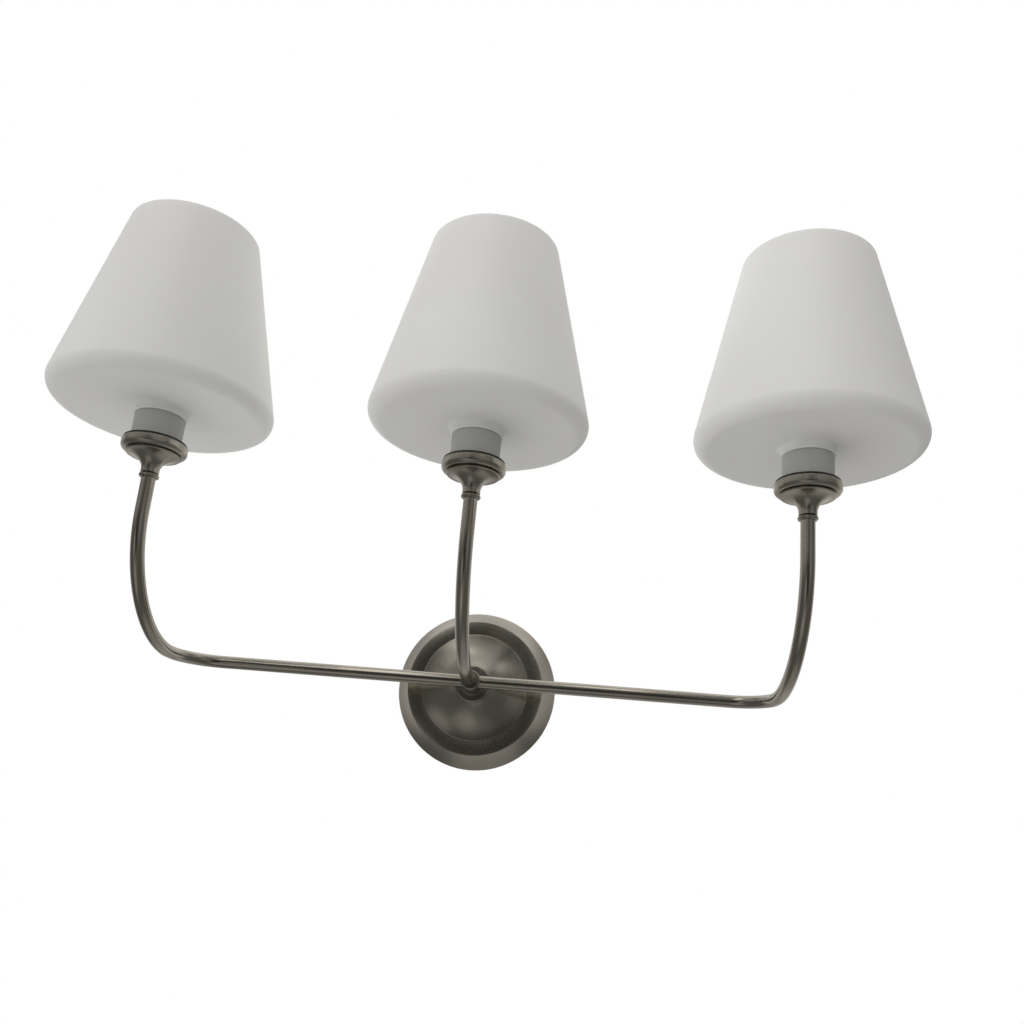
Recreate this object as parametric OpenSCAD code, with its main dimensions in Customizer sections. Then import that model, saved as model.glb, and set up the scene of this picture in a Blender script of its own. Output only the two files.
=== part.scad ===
// Three-light vanity wall fixture with bent tube arms and tapered glass shades.
// The wall is the plane Y = 0 and the fixture stands in front of it, towards -Y.
// +Z is up, +X runs along the fixture, and the origin is the middle of the canopy's back.

/* [Lights] */
// Distance between neighbouring lights
light_spacing = 222; // [190:5:280]

/* [Arms] */
// Outer diameter of the arm tubes
tube_d = 9.5; // [8:0.5:12]
// Wall of the arm tubes
tube_wall = 1; // [0.8:0.1:1.3]
// Wall plane to the axis of the side tubes
bar_offset = 53; // [51:1:68]
// Centreline radius of the elbow at the end of each side tube
elbow_r = 29; // [22:1:40]
// Straight tube between the elbow and the sweep
arm_straight = 4.5; // [1:1:40]
// Centreline radius of the sweep that turns each tube upright
sweep_r = 82; // [65:1:110]
// Upright tube between the sweep and the bell
riser_h = 26.8; // [15:0.5:60]

/* [Canopy] */
// Diameter of the canopy's dome
dome_d = 84.6; // [72:1:106]
// Width of the cove round the dome
cove_w = 10.2; // [8:0.5:14]
// Width of the sloped outer band, seen from the front
band_w = 11; // [7:0.5:14]
// Straight edge of the canopy against the wall
rim_h = 2.5; // [1.5:0.5:5]
// Depth of the sloped band
band_h = 18; // [12:0.5:20]
// Depth from the band's front edge to the edge of the dome
cove_h = 1.4; // [1:0.1:4]
// Depth of the dome
dome_h = 16.1; // [13:0.1:20]
// Sheet thickness of the canopy
canopy_wall = 1.2; // [0.8:0.1:1.6]
// Width of the edge turned in at the wall
lip_w = 3; // [2:0.5:5]
// Diameter of the collar that clamps the canopy
collar_d = 28.6; // [24:0.5:36]
// Thickness of that collar
collar_h = 3.4; // [2.5:0.1:5]

/* [Stem and hub] */
// Outer diameter of the hollow threaded stem
stem_d = 9.7; // [8.5:0.1:11.5]
// Bore of the stem
stem_bore = 6.8; // [6.4:0.1:8]
// Metal of the hub outside the tubes
hub_wall = 2.65; // [2:0.05:4]
// Length of hub in front of the tube axis
hub_front = 9; // [7.5:0.5:12]

/* [Cup] */
// Height of the trumpet-shaped bell
bell_h = 13.8; // [12:0.1:20]
// Height of the dark joint between bell and rim
joint_h = 0.8; // [0.5:0.1:1.5]
// Height of the rim above the joint
cup_rim_h = 7; // [5.4:0.1:9]
// How far the rim stands out past the bell
rim_overhang = 3.4; // [2.4:0.1:5]
// Sheet thickness of bell and rim
cup_wall = 1.2; // [0.8:0.1:1.5]
// Width of the gasket's ring
gasket_w = 4; // [3:0.05:6]
// Thickness of the gasket
gasket_h = 1.6; // [1:0.1:3]

/* [Socket] */
// Bore of the screw shell, for a medium lamp base
lamp_bore = 26.8; // [23:0.1:32]
// Length of the screw shell
shell_h = 26; // [22:1:31]
// Sheet thickness of the screw shell
shell_wall = 0.45; // [0.3:0.05:0.6]
// Wall of the socket body
socket_wall = 1.1; // [1:0.1:2.5]
// Wall of the white sleeve
sleeve_wall = 1.1; // [1:0.05:2]
// Height of sleeve seen between gasket and glass
sleeve_show = 17.5; // [16:0.1:22]
// Height of the socket body above the sleeve
socket_above = 21; // [18.5:0.5:28]

/* [Shade] */
// Largest diameter of the glass
shade_base_d = 151; // [130:1:188]
// Diameter of the glass at its open top
shade_top_d = 91.5; // [80:1:114]
// Height of the glass
shade_h = 141.5; // [120:1:180]
// Thickness of the glass
glass = 3; // [2.5:0.1:4]
// Radius of the glass's lower edge
corner_r = 9; // [7:0.5:14]
// Slope of the glass's underside, rising to the neck
base_slope = 4; // [1:0.5:12]
// How far the neck stands out past the sleeve
neck_lip = 1.1; // [1:0.05:3]
// Height of the neck below the underside
neck_h = 6; // [4:0.1:8.5]

/* [Hidden] */
LIGHTS = ["left", "centre", "right"];
LIGHT_PIECES = [
    "shade", "shade_ring", "sleeve", "socket_body", "screw_shell", "centre_contact",
    "terminal_screws", "gasket", "cup_rim", "bell", "bead_collar", "nipple", "cup_locknut"
];
BASE_PIECES = [
    "canopy", "canopy_collar", "crossbar", "hickey", "hickey_screw", "ground_screw",
    "stem", "stem_locknut", "hub", "wire_connectors"
];
NODES = concat(
    BASE_PIECES,
    [for (side = LIGHTS) str("arm_", side)],
    [for (side = LIGHTS) str("wires_", side)],
    [for (side = LIGHTS, piece = LIGHT_PIECES) str(piece, "_", side)]
);
node = "all";
$fn = 64;

NICKEL = "#8b8880";
STEEL = "#b4b6b8";
BRASS = "#c9a85a";
OPAL = "#e6e5e1";
WHITE = "#d9d8d3";
BLACK = "#1d1d1d";

fit = 0.05;      // radial play of a shaft in its hole
ease = 0.1;      // play of pieces that only rest together
part_gap = 0.3;  // space between bodies that move apart
thin = 0.01;

// Arms
tube_r = tube_d / 2;
tube_bore_r = tube_r - tube_wall;
run = elbow_r + arm_straight;
reach = bar_offset + run + sweep_r;
bell_z = sweep_r + riser_h;
tube_seat = 7;
wire_r = 0.85;
wire_off = 1.2;

// Canopy, depths counted from the wall
dome_r = dome_d / 2;
cove_r = dome_r + cove_w;
canopy_r = cove_r + band_w;
band_front = rim_h + band_h;
dome_edge = band_front + cove_h;
canopy_front = dome_edge + dome_h;
collar_r = collar_d / 2;
collar_front = canopy_front + ease + collar_h;

// Stem and hub
stem_r = stem_d / 2;
stem_bore_r = stem_bore / 2;
hub_r = tube_r + hub_wall;
hub_back = collar_front + ease;
hub_cavity_r = stem_r - 0.25;
tube_start = max(hub_cavity_r + 0.4, tube_r + 0.25);
stem_front = bar_offset - hub_cavity_r + 0.6;

// Crossbar and hickey
crossbar_t = 2;
crossbar_h = 24;
bar_clear = 4.5;
crossbar_r = canopy_r - lip_w - bar_clear;
slot_r = 2.4;
slot_len = 22;
slot_edge = 5;
slot_x = crossbar_r - slot_len / 2 - slot_edge;
hickey_plate = 4;
hickey_back = crossbar_t + ease;
hickey_window = 8;
hickey_mid = hickey_back + hickey_plate;
hickey_front = hickey_mid + hickey_window + hickey_plate;
hickey_h = 12;
hickey_leg = 4;
hickey_w = stem_d + 2 * hickey_leg + 8;
stem_back = hickey_front - hickey_plate;
stud_r = 2.9;
screw_play = 0.1;
ground_x = (hickey_w / 2 + slot_x - slot_len / 2) / 2;
ground_r = 1.85;
nut_h = 4;
nut_wall = 3.4;
wire_turn = 3;
stem_wire_pitch = 2 * wire_r + 0.2;
wire_depth = stem_back - wire_turn;
connector_z = 13;
connector_h = 20;
connector_r = 6;
connector_end_r = 4.6;
connector_bore_r = 4.2;
connector_bore_h = 14;

// Light pieces, heights counted from the bottom of the bell
nipple_r = tube_bore_r - ease;
nipple_bore_r = nipple_r - 0.8;
neck_metal = 1.3;
bead_r = tube_r + 2;
bead_h = 3.5;
socket_bore_r = lamp_bore / 2 + shell_wall + fit;
socket_r = socket_bore_r + socket_wall;
sleeve_bore_r = socket_r + 0.75;
sleeve_r = sleeve_bore_r + sleeve_wall;
gasket_bore_r = sleeve_r + 0.2;
gasket_r = gasket_bore_r + gasket_w;
cup_rim_r = gasket_r + 0.8;
bell_r = cup_rim_r - rim_overhang;
cup_floor = bell_h + joint_h;
cup_floor_top = cup_floor + cup_wall;
cup_rim_top = cup_floor + cup_rim_h;
gasket_top = cup_rim_top + gasket_h;
sleeve_top = gasket_top + sleeve_show;
socket_bottom = cup_floor_top + ease;
socket_top = sleeve_top + socket_above;
shell_drop = 3;
shell_step = 1.6;
contact_h = 3.4;
shell_seat = contact_h + 0.4;
shell_top = socket_top - shell_drop;
shell_bottom = shell_top - shell_h;
socket_floor = 4;
chamber_top = shell_bottom - socket_floor;
chamber_r = socket_bore_r - 1;
thread_depth = 0.6;
thread_pitch = 3;
terminal_y = 8.2;
terminal_r = 1.7;
lead_end = max(chamber_top - 6, cup_floor_top + nut_h + 1.5);

// Glass, heights counted from its lowest plane
hole_r = socket_r + 1;
neck_r = sleeve_r + neck_lip;
corner_c = [shade_base_d / 2 - corner_r, corner_r];
top_c = [shade_top_d / 2 - glass / 2, shade_h - glass / 2];
side_v = top_c - corner_c;
side_angle = atan2(side_v.y, side_v.x) - acos((corner_r - glass / 2) / norm(side_v));
base_start = corner_c + corner_r * [-sin(base_slope), -cos(base_slope)];
neck_top = under_z(neck_r);
pad_z = neck_top + glass / cos(base_slope);
shade_z = sleeve_top + part_gap + neck_h - neck_top;
ring_z = shade_z + pad_z + part_gap;
ring_bore_r = hole_r + 0.4;
ring_h = 8;
ring_flange_r = neck_r + 2;
ring_body_r = neck_r;

// Height of the glass's underside at radius r
function under_z(r) = base_start.y + (base_start.x - r) * tan(base_slope);

// Points on a circle about c from angle a0 to a1
function arc(c, r, a0, a1, n = 10) =
    [for (i = [0:n]) let (a = a0 + (a1 - a0) * i / n) c + r * [cos(a), sin(a)]];

// Points on an arc from p to q that bows by s to the left of the way from p to q
function bow(p, q, s, n = 8) =
    let (
        half = norm(q - p) / 2,
        r = (half * half + s * s) / (2 * abs(s)),
        dir = (q - p) / (2 * half),
        left = sign(s) * [-dir.y, dir.x],
        c = (p + q) / 2 - (r - abs(s)) * left,
        span = asin(half / r)
    )
    [for (i = [0:n]) let (a = span * (2 * i / n - 1)) c + r * (cos(a) * left + sin(a) * dir)];

// Solid of revolution about Z from outline points [radius, height]
module turned(points, faces = 96) {
    rotate_extrude($fn = faces) polygon(points);
}

// Turns a solid that is built up along +Z so that it stands out of the wall
module from_wall() {
    rotate([90, 0, 0]) children();
}

// Disc, or ring when there is a bore
module section(r, bore_r) {
    difference() {
        circle(r);
        if (bore_r > 0) circle(bore_r);
    }
}

// Straight rod or pipe along +Z
module pipe(len, r, bore_r = 0) {
    linear_extrude(len) section(r, bore_r);
}

// Bent rod or pipe that starts at [bend_r, 0, 0] towards +Y and turns about +Z
module bend(bend_r, angle, r, bore_r = 0) {
    rotate_extrude(angle = angle, $fn = 96) translate([bend_r, 0]) section(r, bore_r);
}

// Hexagonal nut on +Z
module hex_nut(bore_r, wall, h) {
    difference() {
        cylinder(r = (bore_r + wall) / cos(30), h = h, $fn = 6);
        translate([0, 0, -1]) cylinder(r = bore_r, h = h + 2);
    }
}

// Sweep and riser of any arm, at x, moved sideways by off in the plane of the sweep
module upper_run(x, off, top, r, bore_r = 0) {
    translate([x, sweep_r - reach, sweep_r]) rotate([180, 90, 0]) bend(sweep_r - off, 90, r, bore_r);
    translate([x, off - reach, sweep_r]) pipe(top - sweep_r, r, bore_r);
}

// Side arm on the +X side, from x = start to the height top
module side_run(start, off, top, r, bore_r = 0) {
    translate([0, -bar_offset, off]) {
        translate([start, 0, 0]) rotate([0, 90, 0])
            pipe(light_spacing - elbow_r - start, r, bore_r);
        translate([light_spacing - elbow_r, -elbow_r, 0]) bend(elbow_r, 90, r, bore_r);
        translate([light_spacing, -elbow_r, 0]) rotate([90, 0, 0]) pipe(arm_straight, r, bore_r);
    }
    upper_run(light_spacing, off, top, r, bore_r);
}

// Centre arm, from its distance start in front of the bar's axis to the height top
module centre_run(start, off, top, r, bore_r = 0) {
    translate([0, -bar_offset - start, off]) rotate([90, 0, 0]) pipe(run - start, r, bore_r);
    upper_run(0, off, top, r, bore_r);
}

// Lead from the hub's side, round into the stem and out to a wire connector. up is 1 or -1.
module hub_lead(x, side_entry, up) {
    y = -bar_offset;
    z = up * wire_off;
    turn = side_entry ? tube_start - x : 0;
    translate([x + turn, y + turn, z]) if (side_entry) rotate([0, 0, 180]) bend(turn, 90, wire_r);
    translate([x, y + turn, z]) rotate([-90, 0, 0]) pipe(-stem_back - y - turn, wire_r);
    translate([x, -stem_back, z + up * wire_turn]) rotate([0, 90 * up, 0]) bend(wire_turn, 90, wire_r);
    mirror([0, 0, up > 0 ? 0 : 1]) translate([x, -wire_depth, abs(z) + wire_turn])
        pipe(connector_z + 6 - abs(z) - wire_turn, wire_r);
}

// End of a lead in the socket: it turns away from the axis to its terminal. out is 1 or -1.
module socket_lead(x, out) {
    turn = 2.4;
    translate([x, out * (wire_off + turn) - reach, bell_z + lead_end])
        rotate([90, 0, -90 * out]) bend(turn, 90, wire_r);
    translate([x, out * (wire_off + turn) - reach, bell_z + lead_end + turn])
        rotate([-90 * out, 0, 0]) pipe(1, wire_r);
}

module canopy() {
    outer = concat(
        [[canopy_r - lip_w, 0], [canopy_r, 0], [canopy_r, rim_h]],
        bow([canopy_r - 0.4, rim_h + 0.6], [cove_r + 0.8, band_front], 0.5, 4),
        bow([cove_r - 0.8, band_front + 0.2], [dome_r + 0.3, dome_edge - 1.2], -0.25, 4),
        bow([dome_r, dome_edge], [collar_r, canopy_front], 3, 12)
    );
    inner = concat(
        bow([collar_r, canopy_front - canopy_wall], [dome_r - canopy_wall, dome_edge - 0.4], -2.6, 12),
        bow([dome_r - canopy_wall, dome_edge - 2.4], [cove_r - 1.6, band_front - canopy_wall], 0.25, 4),
        [[canopy_r - canopy_wall - 0.5, rim_h], [canopy_r - canopy_wall - 0.5, canopy_wall]],
        [[canopy_r - lip_w, canopy_wall]]
    );
    bore = stem_r + 0.2;
    color(NICKEL) from_wall()
        turned(concat(outer, [[bore, canopy_front], [bore, canopy_front - canopy_wall]], inner), 128);
}

module canopy_collar() {
    low = canopy_front + ease;
    round_r = 1.3;
    color(NICKEL) from_wall() turned(concat(
        [[stem_r + fit, low], [collar_r - 0.4, low], [collar_r, low + 0.4]],
        arc([collar_r - round_r, collar_front - round_r], round_r, 0, 90, 5),
        [[stem_r + fit, collar_front]]
    ));
}

module crossbar() {
    color(STEEL) from_wall() linear_extrude(crossbar_t) difference() {
        intersection() {
            circle(crossbar_r, $fn = 128);
            square([2 * crossbar_r + 1, crossbar_h], center = true);
        }
        circle(stud_r + screw_play);
        translate([ground_x, 0]) circle(ground_r + fit);
        for (side = [-1, 1]) translate([side * slot_x, 0]) {
            square([slot_len - 2 * slot_r, 2 * slot_r], center = true);
            for (end = [-1, 1]) translate([end * (slot_len / 2 - slot_r), 0]) circle(slot_r);
        }
    }
}

module hickey() {
    color(STEEL) from_wall() difference() {
        translate([-hickey_w / 2, -hickey_h / 2, hickey_back])
            cube([hickey_w, hickey_h, hickey_front - hickey_back]);
        translate([hickey_leg - hickey_w / 2, -hickey_h, hickey_mid])
            cube([hickey_w - 2 * hickey_leg, 2 * hickey_h, hickey_window]);
        cylinder(r = stud_r + fit, h = hickey_mid + 1);
        translate([0, 0, hickey_mid]) cylinder(r = stem_r + fit, h = hickey_front);
    }
}

module hickey_screw() {
    head = 2.4;
    color(STEEL) from_wall() {
        cylinder(r = stud_r, h = hickey_mid + thin);
        translate([0, 0, hickey_mid + ease]) difference() {
            cylinder(r = stud_r + 2, h = head);
            translate([-4 * stud_r, -0.6, head - 1]) cube([8 * stud_r, 1.2, 2]);
        }
        translate([0, 0, hickey_mid - 1]) cylinder(r = stud_r, h = 1.5);
    }
}

module ground_screw() {
    color("#3f8f55") from_wall() translate([ground_x, 0, 0]) {
        cylinder(r = ground_r, h = crossbar_t + 1);
        translate([0, 0, crossbar_t + ease]) difference() {
            cylinder(r = 3.4, h = 2.2);
            translate([-4, -0.5, 1.3]) cube([8, 1, 2]);
        }
    }
}

module stem() {
    color(STEEL) from_wall() translate([0, 0, stem_back])
        pipe(stem_front - stem_back, stem_r, stem_bore_r);
}

module stem_locknut() {
    color(STEEL) from_wall() translate([0, 0, hickey_front + ease])
        hex_nut(stem_r + fit, nut_wall, nut_h);
}

module hub() {
    edge = 0.8;
    front = bar_offset + hub_front;
    color(NICKEL) difference() {
        from_wall() turned(concat(
            [[0, hub_back], [hub_r - 0.4, hub_back], [hub_r, hub_back + 0.4]],
            arc([hub_r - edge, front - edge], edge, 0, 90, 5),
            [[0, front]]
        ));
        from_wall() cylinder(r = stem_r + fit, h = stem_front);
        from_wall() cylinder(r = hub_cavity_r, h = bar_offset + hub_cavity_r);
        translate([0, -bar_offset, 0]) {
            rotate([0, 90, 0]) cylinder(r = tube_bore_r, h = 4 * hub_r, center = true);
            for (side = [0, 1]) mirror([side, 0, 0]) translate([tube_start, 0, 0])
                rotate([0, 90, 0]) cylinder(r = tube_r + fit, h = 2 * hub_r);
            rotate([90, 0, 0]) cylinder(r = tube_bore_r, h = tube_start + 1);
            translate([0, -tube_start, 0]) rotate([90, 0, 0]) cylinder(r = tube_r + fit, h = 2 * hub_front);
        }
    }
}

module wire_connectors() {
    for (up = [0, 1]) mirror([0, 0, up]) translate([0, -wire_depth, connector_z])
        color(up == 0 ? "#d8d5c8" : "#2b2b2b") difference() {
            union() {
                cylinder(r1 = connector_r, r2 = connector_end_r, h = connector_h);
                cylinder(r = connector_r + 0.6, h = 2.5);
            }
            translate([0, 0, -1]) cylinder(r = connector_bore_r, h = connector_bore_h + 1);
        }
}

module arm_right() {
    color(NICKEL) side_run(tube_start, 0, bell_z + tube_seat, tube_r, tube_bore_r);
}

module arm_left() {
    mirror([1, 0, 0]) arm_right();
}

module arm_centre() {
    color(NICKEL) centre_run(tube_start, 0, bell_z + tube_seat, tube_r, tube_bore_r);
}

module wires_right() {
    for (up = [1, -1]) color(up > 0 ? WHITE : BLACK) {
        side_run(tube_start, up * wire_off, bell_z + lead_end, wire_r);
        hub_lead(stem_wire_pitch, true, up);
        socket_lead(light_spacing, up);
    }
}

module wires_left() {
    mirror([1, 0, 0]) wires_right();
}

module wires_centre() {
    for (up = [1, -1]) color(up > 0 ? WHITE : BLACK) {
        centre_run(-ease, up * wire_off, bell_z + lead_end, wire_r);
        hub_lead(0, false, up);
        socket_lead(0, up);
    }
}

module bead_collar() {
    color(NICKEL) translate([0, 0, -bead_h - thin]) turned(concat(
        [[tube_r + fit, 0], [bead_r - 1.5, 0]],
        bow([bead_r - 1.2, 0.3], [bead_r - 1.2, bead_h - 0.6], -1.2, 8),
        [[bead_r - 1.7, bead_h - ease], [tube_r + fit, bead_h - ease]]
    ));
}

module bell() {
    neck_r0 = tube_r + neck_metal;
    flare = bell_r - neck_r0;
    rise = bell_h - 3.2;
    outer = [for (i = [0:14]) let (a = 6.2 * i)
        [bell_r - flare * cos(a), 2.2 + rise * sin(a)]];
    inner = [for (i = [14:-1:3]) let (a = 6.2 * i)
        [bell_r - cup_wall - flare * cos(a), 2.2 + cup_wall + rise * sin(a)]];
    color(NICKEL) turned(concat(
        [[tube_r + fit, 0], [neck_r0, 0]],
        outer,
        [[bell_r, bell_h - 0.4], [bell_r - 0.4, bell_h], [bell_r - 1.6, bell_h]],
        [[bell_r - 1.6, cup_floor - ease], [bell_r - 3, cup_floor - ease]],
        inner,
        [[nipple_r + 0.2, tube_seat + cup_wall + ease], [nipple_r + 0.2, tube_seat + ease]],
        [[tube_r + fit, tube_seat + ease]]
    ));
}

module cup_rim() {
    round_r = 3.2;
    edge = 1;
    color(NICKEL) turned(concat(
        [[nipple_r + 0.2, cup_floor], [cup_rim_r - round_r, cup_floor]],
        arc([cup_rim_r - round_r, cup_floor + round_r], round_r, -75, 0, 6),
        arc([cup_rim_r - edge, cup_rim_top - edge], edge, 0, 90, 4),
        [[cup_rim_r - 2 * edge, cup_rim_top], [cup_rim_r - 2 * edge, cup_floor + round_r]],
        [[cup_rim_r - round_r - 0.6, cup_floor_top], [nipple_r + 0.2, cup_floor_top]]
    ));
}

module gasket() {
    color(BLACK) translate([0, 0, cup_rim_top + thin])
        pipe(gasket_h - ease, gasket_r, gasket_bore_r);
}

module sleeve() {
    color(WHITE) translate([0, 0, cup_floor_top + ease])
        pipe(sleeve_top - cup_floor_top - ease, sleeve_r, sleeve_bore_r);
}

module socket_body() {
    threads = floor((socket_above - 4) / thread_pitch);
    thread_start = sleeve_top + 2.5;
    color(WHITE) difference() {
        turned(concat(
            [[chamber_r, socket_bottom], [socket_r, socket_bottom]],
            [for (i = [0:threads - 1]) each [
                [socket_r, thread_start + thread_pitch * (i + 0.1)],
                [socket_r - thread_depth, thread_start + thread_pitch * (i + 0.4)],
                [socket_r - thread_depth, thread_start + thread_pitch * (i + 0.7)],
                [socket_r, thread_start + thread_pitch * (i + 1)]
            ]],
            [[socket_r, socket_top - 0.6], [socket_r - 0.6, socket_top]],
            [[socket_bore_r, socket_top], [socket_bore_r, shell_bottom]],
            [[0, shell_bottom], [0, chamber_top], [chamber_r, chamber_top]]
        ));
        for (side = [-1, 1]) translate([0, side * terminal_y, chamber_top - 1])
            cylinder(r = terminal_r + fit, h = 8, $fn = 32);
    }
}

module screw_shell() {
    r = lamp_bore / 2;
    foot_r = r - shell_step;
    color(BRASS) translate([0, 0, shell_bottom]) turned([
        [r - 4, ease], [foot_r + shell_wall, ease],
        [foot_r + shell_wall, shell_seat - shell_wall], [r + shell_wall, shell_seat - shell_wall],
        [r + shell_wall, shell_h + 0.2], [r, shell_h + 0.2],
        [r, shell_seat], [foot_r, shell_seat],
        [foot_r, shell_wall + ease], [r - 4, shell_wall + ease]
    ]);
}

module centre_contact() {
    r = 4;
    color(BRASS) translate([0, 0, shell_bottom + ease]) turned(concat(
        [[0, 0], [r, 0], [r, 0.8], [r - 1.2, 1]],
        bow([r - 1.6, contact_h - 1], [0, contact_h], 0.4, 6)
    ), 48);
}

module terminal_screws() {
    color(BRASS) for (side = [-1, 1]) translate([0, side * terminal_y, chamber_top]) {
        cylinder(r = terminal_r, h = 3, $fn = 32);
        translate([0, 0, -2.2]) difference() {
            cylinder(r = 2.8, h = 2.1, $fn = 32);
            translate([-3, -0.4, -1]) cube([6, 0.8, 1.8]);
        }
        translate([0, 0, -0.4]) cylinder(r = terminal_r, h = 1, $fn = 32);
    }
}

module nipple() {
    low = tube_seat - 12;
    high = cup_floor_top + nut_h + 1;
    color(STEEL) translate([0, 0, low]) pipe(high - low, nipple_r, nipple_bore_r);
}

module cup_locknut() {
    color(STEEL) translate([0, 0, cup_floor_top + ease])
        hex_nut(nipple_r + fit, 2.4, nut_h - 1);
}

module shade_ring() {
    ribs = 16;
    color(WHITE) translate([0, 0, ring_z]) difference() {
        union() {
            cylinder(r = ring_flange_r, h = 2);
            cylinder(r = ring_body_r, h = ring_h);
            for (i = [0:ribs - 1]) rotate([0, 0, 360 / ribs * i])
                translate([ring_body_r, 0, 1]) cylinder(r = 0.9, h = ring_h - 1.6, $fn = 24);
        }
        translate([0, 0, -1]) cylinder(r = ring_bore_r, h = ring_h + 2);
    }
}

module shade() {
    fillet = 3;
    edge = 0.9;
    neck_bottom = neck_top - neck_h;
    fillet_r = neck_r + fillet;
    color(OPAL) translate([0, 0, shade_z]) turned(concat(
        [[hole_r, neck_bottom]],
        arc([neck_r - edge, neck_bottom + edge], edge, -90, 0, 3),
        arc([fillet_r, under_z(fillet_r) - fillet / cos(base_slope)], fillet, 180, 90 - base_slope, 5),
        arc(corner_c, corner_r, -90 - base_slope, side_angle, 12),
        arc(top_c, glass / 2, side_angle, side_angle + 180, 8),
        arc(corner_c, corner_r - glass, side_angle, -90 - base_slope, 12),
        [[neck_r, pad_z], [hole_r, pad_z]]
    ), 128);
}

// Puts a light's piece on its bell, for light 0, 1 or 2 from the left
module at_light(i) {
    translate([(i - 1) * light_spacing, -reach, bell_z]) children();
}

function wanted(name) = node == "all" || node == name;

if (wanted("canopy")) canopy();
if (wanted("canopy_collar")) canopy_collar();
if (wanted("crossbar")) crossbar();
if (wanted("hickey")) hickey();
if (wanted("hickey_screw")) hickey_screw();
if (wanted("ground_screw")) ground_screw();
if (wanted("stem")) stem();
if (wanted("stem_locknut")) stem_locknut();
if (wanted("hub")) hub();
if (wanted("wire_connectors")) wire_connectors();
if (wanted("arm_left")) arm_left();
if (wanted("arm_centre")) arm_centre();
if (wanted("arm_right")) arm_right();
if (wanted("wires_left")) wires_left();
if (wanted("wires_centre")) wires_centre();
if (wanted("wires_right")) wires_right();
for (i = [0:2]) {
    if (wanted(str("shade_", LIGHTS[i]))) at_light(i) shade();
    if (wanted(str("shade_ring_", LIGHTS[i]))) at_light(i) shade_ring();
    if (wanted(str("sleeve_", LIGHTS[i]))) at_light(i) sleeve();
    if (wanted(str("socket_body_", LIGHTS[i]))) at_light(i) socket_body();
    if (wanted(str("screw_shell_", LIGHTS[i]))) at_light(i) screw_shell();
    if (wanted(str("centre_contact_", LIGHTS[i]))) at_light(i) centre_contact();
    if (wanted(str("terminal_screws_", LIGHTS[i]))) at_light(i) terminal_screws();
    if (wanted(str("gasket_", LIGHTS[i]))) at_light(i) gasket();
    if (wanted(str("cup_rim_", LIGHTS[i]))) at_light(i) cup_rim();
    if (wanted(str("bell_", LIGHTS[i]))) at_light(i) bell();
    if (wanted(str("bead_collar_", LIGHTS[i]))) at_light(i) bead_collar();
    if (wanted(str("nipple_", LIGHTS[i]))) at_light(i) nipple();
    if (wanted(str("cup_locknut_", LIGHTS[i]))) at_light(i) cup_locknut();
}
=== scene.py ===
"""Looks of a three-light vanity fixture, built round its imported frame.

Everything is in metres in the frame of the part: the wall is the plane Y = 0, the fixture stands in
front of it towards -Y, and +Z is up.
"""

import logging
import math
from dataclasses import dataclass, field
from enum import Enum
from typing import Callable, Dict, List, Sequence, Tuple

import bmesh
import bpy
from mathutils import Matrix, Vector


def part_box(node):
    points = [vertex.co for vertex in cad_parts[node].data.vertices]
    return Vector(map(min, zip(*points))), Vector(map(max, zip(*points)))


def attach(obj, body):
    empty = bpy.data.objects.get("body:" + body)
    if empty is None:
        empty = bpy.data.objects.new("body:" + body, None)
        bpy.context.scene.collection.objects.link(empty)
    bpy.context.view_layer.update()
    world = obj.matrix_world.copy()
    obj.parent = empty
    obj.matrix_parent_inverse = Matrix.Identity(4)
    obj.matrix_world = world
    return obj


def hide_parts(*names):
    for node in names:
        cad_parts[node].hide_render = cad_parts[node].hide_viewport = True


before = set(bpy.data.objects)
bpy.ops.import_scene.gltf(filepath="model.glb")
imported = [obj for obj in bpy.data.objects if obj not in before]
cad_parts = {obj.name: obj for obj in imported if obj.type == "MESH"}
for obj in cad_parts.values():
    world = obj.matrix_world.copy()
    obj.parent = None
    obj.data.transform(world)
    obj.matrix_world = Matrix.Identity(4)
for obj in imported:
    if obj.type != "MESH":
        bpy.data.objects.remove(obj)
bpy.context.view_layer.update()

logging.basicConfig(level=logging.INFO, format="%(message)s")
log = logging.getLogger("fixture")

MM = 0.001
Point = Tuple[float, float]
Colour = Tuple[float, float, float]


class Side(Enum):
    """The three lights, by their place on the bar."""

    LEFT = "left"
    CENTRE = "centre"
    RIGHT = "right"


class Axis(Enum):
    """The axis that a turned piece is turned about."""

    OUT_OF_WALL = "out_of_wall"
    UPRIGHT = "upright"


# ---------------------------------------------------------------- outlines


def arc(centre: Point, radius: float, start: float, end: float, steps: int = 10) -> List[Point]:
    """Points on a circle.

    Args:
        centre: Centre of the circle.
        radius: Its radius.
        start: First angle in degrees.
        end: Last angle in degrees.
        steps: Number of pieces that the arc is cut into.

    Returns:
        The points from the first angle to the last.
    """
    points = []
    for i in range(steps + 1):
        a = math.radians(start + (end - start) * i / steps)
        points.append((centre[0] + radius * math.cos(a), centre[1] + radius * math.sin(a)))
    return points


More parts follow.
